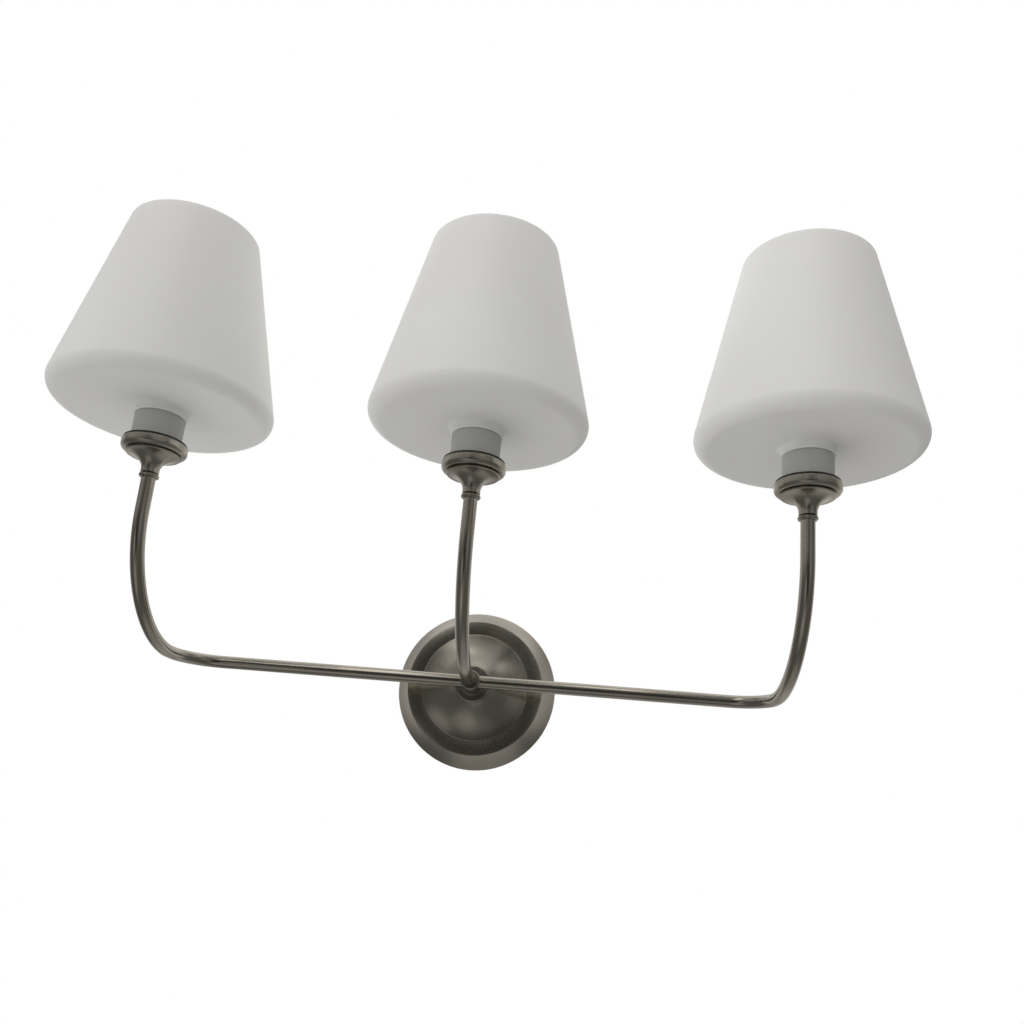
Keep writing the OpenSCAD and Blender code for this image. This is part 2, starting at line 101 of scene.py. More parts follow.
def bow(first: Point, last: Point, rise: float, steps: int = 12) -> List[Point]:
    """Points on an arc between two points.

    Args:
        first: Start of the arc.
        last: End of the arc.
        rise: How far its middle stands to the left of the straight way.
        steps: Number of pieces that the arc is cut into.

    Returns:
        The points from the first to the last.
    """
    dx, dy = last[0] - first[0], last[1] - first[1]
    half = math.hypot(dx, dy) / 2
    radius = (half * half + rise * rise) / (2 * abs(rise))
    ux, uy = dx / (2 * half), dy / (2 * half)
    lx, ly = (-uy, ux) if rise > 0 else (uy, -ux)
    cx = (first[0] + last[0]) / 2 - (radius - abs(rise)) * lx
    cy = (first[1] + last[1]) / 2 - (radius - abs(rise)) * ly
    span = math.asin(min(1.0, half / radius))
    points = []
    for i in range(steps + 1):
        a = span * (2 * i / steps - 1)
        points.append((
            cx + radius * (math.cos(a) * lx + math.sin(a) * ux),
            cy + radius * (math.cos(a) * ly + math.sin(a) * uy),
        ))
    return points


def soften(outline: Sequence[Point], radius: float) -> List[Point]:
    """Rounds the corners of a closed outline.

    Args:
        outline: Corner points.
        radius: Radius that a corner gets where its sides are long enough.

    Returns:
        The outline with an arc of a few points at each corner.
    """
    n = len(outline)
    result: List[Point] = []
    for i, p in enumerate(outline):
        a, b = Vector(outline[i - 1]), Vector(outline[(i + 1) % n])
        c = Vector(p)
        u, v = a - c, b - c
        if u.length < 1e-9 or v.length < 1e-9:
            continue
        turn = math.pi - u.angle(v)
        if turn < math.radians(14):
            result.append(p)
            continue
        reach = min(radius * math.tan(turn / 2), u.length * 0.45, v.length * 0.45)
        start, end = c + u.normalized() * reach, c + v.normalized() * reach
        steps = 4 if turn > 0.6 else 2
        for k in range(steps + 1):
            t = k / steps
            q = start * (1 - t) ** 2 + c * 2 * t * (1 - t) + end * t * t
            result.append((q.x, q.y))
    return result


# ---------------------------------------------------------------- meshes


def finish_mesh(name: str, bm: bmesh.types.BMesh, sharp: float = 40) -> bpy.types.Object:
    """Turns a bmesh into a shaded object in the scene.

    Args:
        name: Name of the piece.
        bm: The mesh in hand, which is freed.
        sharp: Edges that turn by more degrees than this stay sharp.

    Returns:
        The new object.
    """
    bmesh.ops.recalc_face_normals(bm, faces=bm.faces)
    mesh = bpy.data.meshes.new(name)
    bm.to_mesh(mesh)
    bm.free()
    mesh.polygons.foreach_set("use_smooth", [True] * len(mesh.polygons))
    mesh.set_sharp_from_angle(angle=math.radians(sharp))
    piece = bpy.data.objects.new(name, mesh)
    bpy.context.scene.collection.objects.link(piece)
    return piece


def grid_mesh(name: str, rows: Sequence[Sequence[Vector]], lengths: Sequence[float],
              sharp: float = 40) -> bpy.types.Object:
    """Skins rings of points and joins the last ring to the first, with brush coordinates.

    Args:
        name: Name of the piece.
        rows: Rings with the same number of points each, every ring closed.
        lengths: Distance along the skin at each ring, and once more back at the first.
        sharp: Edges that turn by more degrees than this stay sharp.

    Returns:
        The new object. Its map holds turns round the ring and metres along the skin.
    """
    bm = bmesh.new()
    layer = bm.loops.layers.uv.new("brush")
    count = len(rows[0])
    rings = []
    for row in rows:
        if (row[0] - row[count // 2]).length < 1e-7:
            rings.append([bm.verts.new(row[0])] * count)
        else:
            rings.append([bm.verts.new(p) for p in row])
    for i in range(len(rings)):
        a, b = rings[i], rings[(i + 1) % len(rings)]
        for k in range(count):
            j = (k + 1) % count
            corners = [(a[k], k, i), (a[j], k + 1, i), (b[j], k + 1, i + 1), (b[k], k, i + 1)]
            seen, kept = set(), []
            for corner in corners:
                if corner[0] not in seen:
                    seen.add(corner[0])
                    kept.append(corner)
            if len(kept) < 3:
                continue
            face = bm.faces.new([c[0] for c in kept])
            for loop, corner in zip(face.loops, kept):
                loop[layer].uv = (corner[1] / count, lengths[corner[2]])
    return finish_mesh(name, bm, sharp)


def round_point(centre: Vector, axis: Axis, radius: float, height: float, angle: float) -> Vector:
    """A point at a radius, a height and an angle round an axis.

    Args:
        centre: Where the axis starts, at height 0, in metres.
        axis: Which way the axis runs.
        radius: Distance from the axis in millimetres.
        height: Distance along the axis in millimetres.
        angle: Angle in radians.

    Returns:
        The point in metres.
    """
    x, y = radius * math.cos(angle) * MM, radius * math.sin(angle) * MM
    if axis is Axis.UPRIGHT:
        return centre + Vector((x, y, height * MM))
    return centre + Vector((x, -height * MM, y))


def turned(name: str, outline: Sequence[Point], centre: Vector, axis: Axis,
           faces: int) -> bpy.types.Object:
    """Turns a closed outline about an axis.

    Args:
        name: Name of the piece.
        outline: Points of radius and height in millimetres.
        centre: Where the axis starts, at height 0.
        axis: Which way the axis runs.
        faces: Number of flats round the axis.

    Returns:
        The new object.
    """
    rows, lengths, run = [], [0.0], 0.0
    for i, (radius, height) in enumerate(outline):
        row = []
        for k in range(faces):
            a = 2 * math.pi * k / faces
            row.append(round_point(centre, axis, radius, height, a))
        rows.append(row)
        nxt = outline[(i + 1) % len(outline)]
        run += math.hypot(nxt[0] - radius, nxt[1] - height) * MM
        lengths.append(run)
    return grid_mesh(name, rows, lengths)


def swept(name: str, path: Sequence[Vector], radius: float, bore: float,
          faces: int) -> bpy.types.Object:
    """Sweeps a pipe along a path.

    Args:
        name: Name of the piece.
        path: Points along the axis. The first step is level.
        radius: Outer radius in metres.
        bore: Radius of the bore in metres.
        faces: Number of flats round the pipe.

    Returns:
        The new object.
    """
    tangents = []
    for i in range(len(path)):
        a, b = path[max(i - 1, 0)], path[min(i + 1, len(path) - 1)]
        tangents.append((b - a).normalized())
    side = Vector((0, 0, 1))
    frames = []
    for i, tangent in enumerate(tangents):
        if i:
            side = tangents[i - 1].rotation_difference(tangent) @ side
            side = (side - tangent * side.dot(tangent)).normalized()
        frames.append((path[i], side.copy(), tangent.cross(side)))

    def ring(at: Tuple[Vector, Vector, Vector], r: float) -> List[Vector]:
        """Points of one ring of the given radius."""
        turns = [2 * math.pi * k / faces for k in range(faces)]
        return [at[0] + (at[1] * math.cos(t) + at[2] * math.sin(t)) * r for t in turns]

    rows, lengths, run = [], [], 0.0
    for i, at in enumerate(frames):
        if i:
            run += (path[i] - path[i - 1]).length
        rows.append(ring(at, radius))
        lengths.append(run)
    for i in range(len(frames) - 1, -1, -1):
        rows.append(ring(frames[i], bore))
        run += radius - bore if i == len(frames) - 1 else 0.0
        lengths.append(run)
    lengths.append(run + radius)
    return grid_mesh(name, rows, lengths)


def threaded(name: str, centre: Vector, axis: Axis, crest: float, depth: float, pitch: float,
             low: float, high: float, wall: float, inward: bool = False, lead_in: float = 1.0,
             faces: int = 72) -> bpy.types.Object:
    """A sleeve whose surface carries a helical thread.

    Args:
        name: Name of the piece.
        centre: Where the axis starts, at height 0.
        axis: Which way the axis runs.
        crest: Radius at the thread's crest in millimetres.
        depth: Depth of the thread, inwards from the crest.
        pitch: Rise of one turn.
        low: Height of the lower end.
        high: Height of the upper end.
        wall: Distance from the crest to the other face of the sleeve.
        inward: Whether both faces follow the thread, as on a rolled shell.
        lead_in: Height over which the thread fades at each end.
        faces: Number of steps in one turn.

    Returns:
        The new object.
    """
    steps = int((high - low) / pitch * 10)
    turns = [2 * math.pi * k / faces for k in range(faces)]

    def groove(height: float, a: float) -> float:
        """Works out the depth of the thread.

        Args:
            height: Height along the sleeve in millimetres.
            a: Angle round it in radians.

        Returns:
            The depth in millimetres.
        """
        fade = min(1.0, (height - low) / lead_in, (high - height) / lead_in)
        wave = 0.5 - 0.5 * math.cos(2 * math.pi * height / pitch - a)
        return depth * max(0.0, fade) * wave

    def ring(radius: float, height: float) -> List[Vector]:
        """One ring that follows the thread."""
        return [round_point(centre, axis, radius - groove(height, a), height, a) for a in turns]

    heights = [low + (high - low) * i / steps for i in range(steps + 1)]
    rows = [ring(crest, h) for h in heights]
    if inward:
        rows += [ring(crest - wall, h) for h in reversed(heights)]
    else:
        rows += [[round_point(centre, axis, crest - wall, h, a) for a in turns]
                 for h in (high, low)]
    lengths = [i * (high - low) / steps * MM for i in range(len(rows) + 1)]
    return grid_mesh(name, rows, lengths, sharp=60)


def ribbed(name: str, foot: Vector, sections: Sequence[Tuple[float, float, float]], ribs: int,
           faces: int, bluntness: float = 1.0, upright: bool = True) -> bpy.types.Object:
    """A turned piece with ribs down its sides.

    Args:
        name: Name of the piece.
        foot: Where its axis starts, in metres.
        sections: Radius, height and depth of the ribs of each ring, in millimetres.
        ribs: Number of ribs.
        faces: Number of flats round the axis.
        bluntness: Power of the ribs' wave. Below 1 they are blunt.
        upright: Whether heights count upwards.

    Returns:
        The new object.
    """
    way = 1.0 if upright else -1.0
    rows = []
    for radius, height, relief in sections:
        row = []
        for k in range(faces):
            a = 2 * math.pi * k / faces
            rib = max(0.0, math.cos(ribs * a)) ** bluntness if relief else 0.0
            row.append(round_point(foot, Axis.UPRIGHT, radius + relief * rib, way * height, a))
        rows.append(row)
    lengths = [i * MM for i in range(len(rows) + 1)]
    return grid_mesh(name, rows, lengths, sharp=35)


def joined(first: bpy.types.Object, second: bpy.types.Object) -> bpy.types.Object:
    """Makes one piece of two.

    Args:
        first: The piece that stays.
        second: The piece whose surface is added, and which is dropped.

    Returns:
        The first piece.
    """
    bm = bmesh.new()
    bm.from_mesh(first.data)
    bm.from_mesh(second.data)
    bm.to_mesh(first.data)
    bm.free()
    bpy.data.objects.remove(second)
    return first


# ---------------------------------------------------------------- finishes


class Recipe:
    """A material in the making: a node tree with a principled shader."""

    def __init__(self, name: str) -> None:
        """Starts the material.

        Args:
            name: Name of the finish.
        """
        self.material = bpy.data.materials.new(name)
        self.material.use_nodes = True
        self.tree = self.material.node_tree
        self.shader = self.tree.nodes["Principled BSDF"]

    def node(self, kind: str, **settings: object) -> bpy.types.Node:
        """Adds a node.

        Args:
            kind: Type of the node, without its common prefix.
            **settings: Properties of the node.

        Returns:
            The node.
        """
        made = self.tree.nodes.new("ShaderNode" + kind)
        for key, value in settings.items():
            setattr(made, key, value)
        return made

    def put(self, target: object, value: object) -> None:
        """Links an output to a socket, or sets the socket to a plain value.

        Args:
            target: The socket.
            value: An output of a node, or a plain value.
        """
        if isinstance(value, bpy.types.NodeSocket):
            self.tree.links.new(value, target)
        else:
            target.default_value = value

    def set(self, **values: object) -> None:
        """Sets plain values on the shader's own sockets, with underscores for spaces."""
        for key, value in values.items():
            self.shader.inputs[key.replace("_", " ")].default_value = value

    def maths(self, operation: str, a: object, b: object = 0.0) -> bpy.types.NodeSocket:
        """Works out a sum.

        Args:
            operation: Blender's name of the sum.
            a: First value or output.
            b: Second value or output.

        Returns:
            The result.
        """
        made = self.node("Math", operation=operation)
        self.put(made.inputs[0], a)
        self.put(made.inputs[1], b)
        return made.outputs[0]

    def noise(self, vector: object, scale: float, detail: float = 3.0,
              roughness: float = 0.55) -> bpy.types.NodeSocket:
        """Makes cloudy noise.

        Args:
            vector: The point.
            scale: How fine the noise is.
            detail: How many finer layers it has.
            roughness: How strong the finer layers are.

        Returns:
            The noise at the point, about 0.3 to 0.7.
        """
        made = self.node("TexNoise")
        self.put(made.inputs["Vector"], vector)
        made.inputs["Scale"].default_value = scale
        made.inputs["Detail"].default_value = detail
        made.inputs["Roughness"].default_value = roughness
        return made.outputs[0]

    def ranged(self, value: object, low: float, high: float, at_low: float = 0.3,
               at_high: float = 0.7) -> bpy.types.NodeSocket:
        """Carries a value from one range to another.

        Args:
            value: The value.
            low: The result where the value is at_low.
            high: The result where the value is at_high.
            at_low: Start of the value's range.
            at_high: End of the value's range.

        Returns:
            The result.
        """
        made = self.node("MapRange")
        self.put(made.inputs["Value"], value)
        made.inputs["From Min"].default_value = at_low
        made.inputs["From Max"].default_value = at_high
        made.inputs["To Min"].default_value = low
        made.inputs["To Max"].default_value = high
        return made.outputs[0]

    def blend(self, factor: object, a: Colour, b: Colour) -> bpy.types.NodeSocket:
        """Blends two colours.

        Args:
            factor: 0 for the first colour, 1 for the second.
            a: The first colour.
            b: The second colour.

        Returns:
            The colour between them.
        """
        made = self.node("Mix", data_type="RGBA")
        self.put(made.inputs["Factor"], factor)
        self.put(made.inputs["A"], (*a, 1.0))
        self.put(made.inputs["B"], (*b, 1.0))
        return made.outputs["Result"]

    def place(self) -> bpy.types.NodeSocket:
        """The point in the frame of the part."""
        return self.node("TexCoord").outputs["Object"]

    def bump(self, height: object, strength: float, distance: float) -> None:
        """Raises the surface.

        Args:
            height: The relief.
            strength: How much of it shows.
            distance: Its depth in metres where it is 1.
        """
        made = self.node("Bump")
        self.put(made.inputs["Height"], height)
        made.inputs["Strength"].default_value = strength
        made.inputs["Distance"].default_value = distance
        self.put(self.shader.inputs["Normal"], made.outputs[0])

    def brush_vector(self, round_scale: float, along_scale: float) -> bpy.types.NodeSocket:
        """A point that changes slowly one way and fast the other, from the brush map.

        Args:
            round_scale: How fast it changes round the piece.
            along_scale: How fast it changes along the piece, for each metre.

        Returns:
            The stretched point, without a seam where the map joins.
        """
        uv = self.node("UVMap", uv_map="brush")
        parts = self.node("SeparateXYZ")
        self.put(parts.inputs[0], uv.outputs[0])
        angle = self.maths("MULTIPLY", parts.outputs[0], 2 * math.pi)
        joined = self.node("CombineXYZ")
        self.put(joined.inputs[0], self.maths("MULTIPLY", self.maths("COSINE", angle), round_scale))
        self.put(joined.inputs[1], self.maths("MULTIPLY", self.maths("SINE", angle), round_scale))
        self.put(joined.inputs[2], self.maths("MULTIPLY", parts.outputs[1], along_scale))
        return joined.outputs[0]


@dataclass(frozen=True)
class BrushedNickel:
    """Satin nickel plate with fine brush lines round the piece and soft darker clouds."""

    name: str
    colour: Colour = (0.47, 0.44, 0.385)
    shadow: Colour = (0.39, 0.36, 0.31)
    roughness: float = 0.25
    anisotropy: float = 0.80
    line: float = 1.0

    def make(self) -> bpy.types.Material:
        """Builds the material.

        Returns:
            The material.
        """
        r = Recipe(self.name)
        lines = r.noise(r.brush_vector(round_scale=1.2, along_scale=3600.0), 1.0, 4.0, 0.7)
        clouds = r.noise(r.place(), 22.0, 4.0)
        shade = r.maths("ADD", r.maths("MULTIPLY", lines, 0.35), r.maths("MULTIPLY", clouds, 0.65))
        r.put(r.shader.inputs["Base Color"], r.blend(r.ranged(shade, 0, 1, 0.36, 0.62),
                                                     self.shadow, self.colour))
        rough = r.maths("ADD", r.ranged(lines, -0.03 * self.line, 0.03 * self.line),
                        r.ranged(clouds, -0.02, 0.02))
        r.put(r.shader.inputs["Roughness"], r.maths("ADD", rough, self.roughness))
        r.set(Metallic=1.0, Anisotropic=self.anisotropy, Anisotropic_Rotation=0.25)
        tangent = r.node("Tangent", direction_type="UV_MAP", uv_map="brush")
        r.put(r.shader.inputs["Tangent"], tangent.outputs[0])
        r.bump(lines, 0.10 * self.line, 0.00004)
        return r.material


@dataclass(frozen=True)
class OpalGlass:
    """Satin white glass, a little uneven inside, with a faint warm tint in its thick parts."""

    name: str
    colour: Colour = (0.80, 0.80, 0.785)
    deep: Colour = (0.77, 0.765, 0.74)

    def make(self) -> bpy.types.Material:
        """Builds the material.

        Returns:
            The material.
        """
        r = Recipe(self.name)
        place = r.place()
        clouds = r.noise(place, 9.0, 3.0)
        seeds = r.noise(place, 900.0, 2.0)
        r.put(r.shader.inputs["Base Color"], r.blend(r.ranged(clouds, 0, 1), self.deep, self.colour))
        r.put(r.shader.inputs["Roughness"], r.maths("ADD", r.ranged(clouds, 0.44, 0.52),
                                                    r.ranged(seeds, -0.02, 0.02)))
        r.set(IOR=1.5, Specular_IOR_Level=0.35, Subsurface_Weight=0.35, Subsurface_Scale=0.006)
        r.shader.inputs["Subsurface Radius"].default_value = (1.0, 0.97, 0.9)
        r.bump(seeds, 0.04, 0.00003)
        return r.material


@dataclass(frozen=True)
class Moulded:
    """Moulded plastic, fibre or glazed ware with a fine skin."""

    name: str
    colour: Colour
    worn: Colour
    roughness: float = 0.45
    coat: float = 0.0
    skin: float = 700.0
    relief: float = 0.08

    def make(self) -> bpy.types.Material:
        """Builds the material.

        Returns:
            The material.
        """
        r = Recipe(self.name)
        place = r.place()
        clouds = r.noise(place, 60.0, 3.0)
        grain = r.noise(place, self.skin, 3.0)
        mix = r.maths("ADD", r.maths("MULTIPLY", clouds, 0.6), r.maths("MULTIPLY", grain, 0.4))
        r.put(r.shader.inputs["Base Color"], r.blend(r.ranged(mix, 0, 1), self.worn, self.colour))
        r.put(r.shader.inputs["Roughness"], r.ranged(grain, self.roughness - 0.05,
                                                     self.roughness + 0.05))
        r.set(Coat_Weight=self.coat, Coat_Roughness=0.12)
        r.bump(grain, self.relief, 0.00006)
        return r.material


@dataclass(frozen=True)
class PlainMetal:
    """Plated or bare metal with faint mottling and handling marks."""

    name: str
    colour: Colour
    worn: Colour
    roughness: float = 0.32
    metallic: float = 1.0
    mottle: float = 160.0

    def make(self) -> bpy.types.Material:
        """Builds the material.

        Returns:
            The material.
        """
        r = Recipe(self.name)
        place = r.place()
        spots = r.noise(place, self.mottle, 5.0, 0.65)
        fine = r.noise(place, self.mottle * 9, 2.0)
        r.put(r.shader.inputs["Base Color"], r.blend(r.ranged(spots, 0, 1), self.worn, self.colour))
        r.put(r.shader.inputs["Roughness"], r.maths("ADD", r.ranged(spots, -0.07, 0.07),
                                                    self.roughness))
        r.set(Metallic=self.metallic)
        r.bump(fine, 0.05, 0.00004)
        return r.material


@dataclass(frozen=True)
class Insulation:
    """Pale insulation of the leads, a little uneven."""

    name: str
    light: Colour = (0.74, 0.73, 0.69)
    shade: Colour = (0.66, 0.65, 0.61)

    def make(self) -> bpy.types.Material:
        """Builds the material.

        Returns:
            The material.
        """
        r = Recipe(self.name)
        place = r.place()
        ink = r.noise(place, 420.0, 3.0)
        r.put(r.shader.inputs["Base Color"], r.blend(r.ranged(ink, 0, 1), self.shade, self.light))
        r.put(r.shader.inputs["Roughness"], r.ranged(ink, 0.38, 0.5))
        r.bump(ink, 0.05, 0.00004)
        return r.material


NICKEL_TURNED = BrushedNickel("brushed_nickel_turned")
NICKEL_DRAWN = BrushedNickel("brushed_nickel_tube", roughness=0.19, anisotropy=0.6, line=0.25)
NICKEL_CUP = BrushedNickel("brushed_nickel_cup", roughness=0.28, anisotropy=0.7, line=0.5)
OPAL = OpalGlass("opal_glass")
# The sleeve is white plastic. Both of its colours are set to a mid-grey as painted shade, standing
# in for the shade that the glass above casts on it.
SLEEVE_PAINTED_SHADE = Moulded("sleeve_fibre_painted_shade", (0.46, 0.46, 0.445), (0.41, 0.41, 0.395), 0.55, skin=1100.0)
RUBBER = Moulded("black_rubber", (0.018, 0.018, 0.018), (0.03, 0.03, 0.029), 0.7, skin=1500.0)
PHENOLIC = Moulded("ring_phenolic", (0.80, 0.79, 0.75), (0.72, 0.71, 0.67), 0.4)
PORCELAIN = Moulded("socket_porcelain", (0.84, 0.83, 0.80), (0.79, 0.78, 0.74), 0.28, coat=0.6,
                    skin=240.0, relief=0.05)
SHELL = PlainMetal("screw_shell_plate", (0.78, 0.73, 0.62), (0.66, 0.60, 0.49), 0.24)
BRASS = PlainMetal("contact_brass", (0.80, 0.60, 0.27), (0.62, 0.44, 0.18), 0.28)
ZINC = PlainMetal("zinc_plate", (0.62, 0.63, 0.65), (0.48, 0.49, 0.50), 0.38, mottle=90.0)
GREEN = PlainMetal("green_screw", (0.07, 0.30, 0.13), (0.04, 0.20, 0.09), 0.36, metallic=0.7)
CONNECTOR_PALE = Moulded("connector_pale", (0.66, 0.63, 0.55), (0.58, 0.55, 0.47), 0.42)
CONNECTOR_DARK = Moulded("connector_dark", (0.03, 0.03, 0.03), (0.05, 0.05, 0.048), 0.45)
LEAD_INSULATION = Insulation("lead_insulation")


class Palette:
    """Makes each finish once and hands out its material."""

    def __init__(self) -> None:
        """Starts with no material made."""
        self.made: Dict[str, bpy.types.Material] = {}

    def get(self, finish: object) -> bpy.types.Material:
        """The material of a finish.

        Args:
            finish: One of the finishes above.

        Returns:
            Its material, made on first use.
        """
        if finish.name not in self.made:
            self.made[finish.name] = finish.make()
        return self.made[finish.name]


@dataclass
class Workshop:
    """Gives pieces their finish, puts them on their bodies and reports them."""

    palette: Palette = field(default_factory=Palette)
    count: int = 0

    def fit(self, piece: bpy.types.Object, finish: object, body: str, slot: str,
            *nodes: str) -> bpy.types.Object:
        """Finishes a new piece and puts it in the place of solids of the frame.

        Args:
            piece: The piece, in place.
            finish: Its finish.
            body: The body that it rides on.
            slot: The record's material slot. Not used.
            *nodes: The solids that it stands for.

        Returns:
            The piece.
        """
        piece.data.materials.append(self.palette.get(finish))
        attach(piece, body)
        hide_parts(*nodes)
        self.count += 1
        log.info("built %s on %s", piece.name, body)
        return piece

    def keep(self, node: str, finish: object) -> None:
        """Keeps a solid of the frame and gives it a finish.

        Args:
            node: The solid's name.
            finish: Its finish.
        """
        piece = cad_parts[node]
        material = self.palette.get(finish)
        if not piece.material_slots:
            piece.data.materials.append(material)
        for slot in piece.material_slots:
            slot.material = material
        self.count += 1
        log.info("kept %s", node)


def centre_of(node: str) -> Vector:
    """Middle of a solid's box."""
    low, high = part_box(node)
    return (low + high) / 2


def stand(kind: str, side: Side) -> Tuple[Vector, float, float]:
    """Where a solid of a light stands.

    Args:
        kind: The solid's name without its side.
        side: The light.

    Returns:
        The foot of the light's axis at the solid in metres, and the solid's radius and height in
        millimetres.
    """
    low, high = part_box(kind + side.value)
    axis = centre_of("sleeve_" + side.value)
    return Vector((axis.x, axis.y, low.z)), (high.x - low.x) / 2 / MM, (high.z - low.z) / MM


# ---------------------------------------------------------------- canopy and hub


@dataclass
class Canopy:
    """The spun cover at the wall with its collar. Sizes are in millimetres."""

    wall: float = 1.2
    lip: float = 3.0
    rim: float = 2.5
    band_front: float = 20.5
    cove_radius: float = 52.5
    dome_edge: float = 21.9
    dome_radius: float = 42.3
    collar_radius: float = 14.3
    stem_radius: float = 4.85
    edge: float = 0.6

    def cover(self) -> bpy.types.Object:
        """Builds the spun cover.

        Returns:
            The cover.
        """
        low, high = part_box("canopy")
        radius = (high.x - low.x) / 2 / MM
        front = (high.y - low.y) / MM
        outer = [(radius - self.lip, 0.0), (radius, 0.0), (radius, self.rim)]
        outer += bow((radius - 0.4, self.rim + 0.6), (self.cove_radius + 0.8, self.band_front), 0.5)
        outer += bow((self.cove_radius - 0.8, self.band_front + 0.2),
                     (self.dome_radius + 0.3, self.dome_edge - 1.2), -0.25)
        outer += bow((self.dome_radius, self.dome_edge), (self.collar_radius, front), 3.0, 24)
        bore = self.stem_radius + 0.2
        inner = bow((self.collar_radius, front - self.wall),
                    (self.dome_radius - self.wall, self.dome_edge - 0.4), -2.6, 16)
        inner += bow((self.dome_radius - self.wall, self.dome_edge - 2.4),
                     (self.cove_radius - 1.6, self.band_front - self.wall), 0.25)
        inner += [(radius - self.wall - 0.5, self.rim), (radius - self.wall - 0.5, self.wall),
                  (radius - self.lip, self.wall)]
        outline = outer + [(bore, front), (bore, front - self.wall)] + inner
        return turned("canopy_cover", soften(outline, self.edge), Vector((0, 0, 0)),
                      Axis.OUT_OF_WALL, 192)

    def collar(self) -> bpy.types.Object:
        """Builds the collar that clamps the cover.

        Returns:
            The collar.
        """
        low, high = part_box("canopy_collar")
        back, front = -high.y / MM, -low.y / MM
        outline = [(self.stem_radius + 0.1, back), (self.collar_radius - 0.4, back),
                   (self.collar_radius, back + 0.5)]
        outline += arc((self.collar_radius - 1.4, front - 1.4), 1.4, 0, 90, 8)
        outline += [(9.4, front), (9.0, front - 0.35), (8.6, front), (self.stem_radius + 0.1, front)]
        return turned("collar_ring", soften(outline, 0.25), Vector((0, 0, 0)), Axis.OUT_OF_WALL, 96)

    def build(self, shop: Workshop) -> None:
        """Builds and dresses both pieces."""
        shop.fit(self.cover(), NICKEL_TURNED, "root", "brushed_nickel", "canopy")
        shop.fit(self.collar(), NICKEL_TURNED, "root", "brushed_nickel", "canopy_collar")


@dataclass
class Hub:
    """The short hub that the tubes run into. Sizes are in millimetres."""

    radius: float = 7.4
    edge: float = 1.0
    pocket: float = 7.2
    stem_radius: float = 4.9

    def build(self, shop: Workshop) -> None:
        """Builds and dresses the hub.

        Args:
            shop: The workshop that fits the pieces.
        """
        low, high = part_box("hub")
        back, front = -high.y / MM, -low.y / MM
        outline = [(self.stem_radius, back + self.pocket), (self.stem_radius, back),
                   (self.radius - 0.5, back), (self.radius, back + 0.5)]
        outline += [(self.radius, front - 3.2), (self.radius - 0.3, front - 3.0),
                    (self.radius - 0.3, front - 2.7), (self.radius, front - 2.5)]
        outline += arc((self.radius - self.edge, front - self.edge), self.edge, 0, 90, 8)
        outline += [(3.2, front), (0.0, front), (0.0, back + self.pocket)]
        piece = turned("hub_barrel", soften(outline, 0.2), Vector((0, 0, 0)), Axis.OUT_OF_WALL, 96)
        shop.fit(piece, NICKEL_CUP, "root", "brushed_nickel", "hub")


# ---------------------------------------------------------------- arms


@dataclass
class Arms:
    """The three bent tubes and the leads inside them. Sizes are in millimetres."""

    tube_radius: float = 4.75
    bore_radius: float = 3.75
    bar_offset: float = 53.0
    elbow: float = 29.0
    run: float = 33.5
    sweep: float = 82.0
    start: float = 5.0

    def sweep_up(self, x: float, top: float) -> List[Vector]:
        """Axis of the sweep and the upright of a tube.

        Args:
            x: Place along the bar.
            top: Height of the tube's end.

        Returns:
            Points from the end of the level part to the tube's end.
        """
        points = []
        front = -self.bar_offset - self.run
        for i in range(1, 41):
            a = math.radians(90 * i / 40)
            points.append(Vector((x, front - self.sweep * math.sin(a),
                                  self.sweep * (1 - math.cos(a)))))
        for i in range(1, 7):
            points.append(Vector((x, front - self.sweep, self.sweep + (top - self.sweep) * i / 6)))
        return points

    def side_path(self, x: float, top: float) -> List[Vector]:
        """Axis of a side tube.

        Args:
            x: Place of its light along the bar.
            top: Height of the tube's end.

        Returns:
            Points from the hub to the tube's end, in metres.
        """
        way = 1.0 if x > 0 else -1.0
        span = abs(x) - self.elbow
        points = [Vector((way * (self.start + (span - self.start) * i / 24), -self.bar_offset, 0))
                  for i in range(25)]
        for i in range(1, 25):
            a = math.radians(90 * i / 24)
            points.append(Vector((way * (span + self.elbow * math.sin(a)),
                                  -self.bar_offset - self.elbow * (1 - math.cos(a)), 0)))
        points.append(Vector((x, -self.bar_offset - self.run, 0)))
        points += self.sweep_up(x, top)
        return [p * MM for p in points]

    def centre_path(self, top: float) -> List[Vector]:
        """Axis of the middle tube.

        Args:
            top: Height of the tube's end.

        Returns:
            Points from the hub to the tube's end, in metres.
        """
        points = [Vector((0, -self.bar_offset - self.start - (self.run - self.start) * i / 6, 0))
                  for i in range(7)]
        return [p * MM for p in points + self.sweep_up(0, top)]

    def build(self, shop: Workshop) -> None:
        """Builds and dresses the tubes.

        Args:
            shop: The workshop that fits the pieces.
        """
        for side in Side:
            node = "arm_" + side.value
            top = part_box(node)[1].z / MM
            x = centre_of("sleeve_" + side.value).x / MM
            path = self.centre_path(top) if side is Side.CENTRE else self.side_path(x, top)
            piece = swept("tube_" + side.value, path, self.tube_radius * MM,
                          self.bore_radius * MM, faces=48)
            shop.fit(piece, NICKEL_DRAWN, "root", "brushed_nickel", node)
            shop.keep("wires_" + side.value, LEAD_INSULATION)


# ---------------------------------------------------------------- lights


